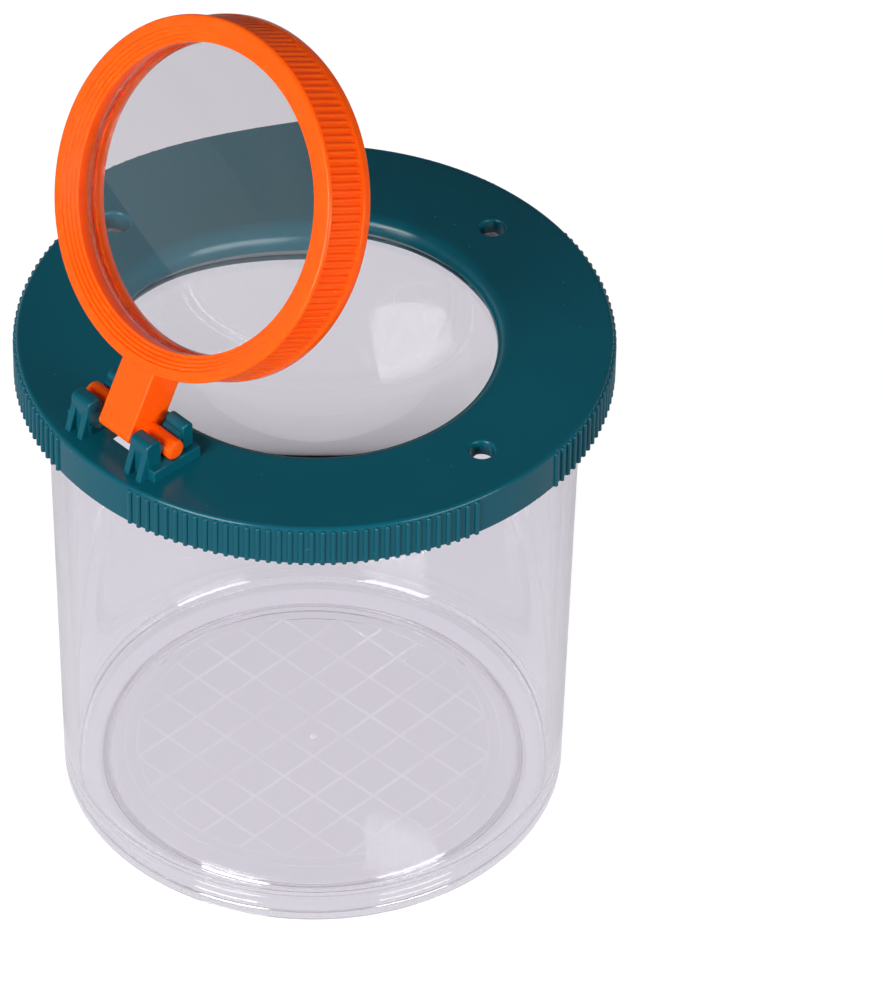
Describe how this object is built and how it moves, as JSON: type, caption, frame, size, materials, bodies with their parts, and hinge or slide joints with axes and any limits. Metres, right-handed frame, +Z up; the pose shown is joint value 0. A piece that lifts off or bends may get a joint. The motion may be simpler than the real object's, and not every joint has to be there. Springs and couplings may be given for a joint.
{
  "type": "bug catcher jar",
  "caption": "Clear round specimen jar with a ribbed push-on lid that holds a magnifying lens, air vents and a fluted loupe on a hinge.",
  "frame": {"origin": "middle of the foot, on the surface that the jar stands on", "axes": "+Z up along the jar's axis, -Y towards the loupe's hinge, +X along the hinge pin"},
  "size_m": [0.07, 0.07, 0.1161],
  "materials": {
    "clear_jar": "clear polished polystyrene",
    "teal_lid": "moulded teal plastic with a soft gloss",
    "clear_lens": "clear polished acrylic",
    "orange_loupe": "moulded orange plastic with a soft gloss"
  },
  "bodies": {
    "jar": {"jar_body": "clear_jar"},
    "lid": {"lid": "teal_lid", "lid_lens": "clear_lens"},
    "loupe": {"loupe_frame": "orange_loupe", "loupe_lens": "clear_lens"}
  },
  "joints": [
    {"name": "lid_lift", "type": "slide", "parent": "jar", "child": "lid", "axis": [0, 0, 1], "range_m": [0, 0.04]},
    {"name": "loupe_hinge", "type": "hinge", "parent": "lid", "child": "loupe", "pos_m": [0, -0.0282, 0.0697], "axis": [1, 0, 0], "range_deg": [-62.3, 97.7]}
  ]
}
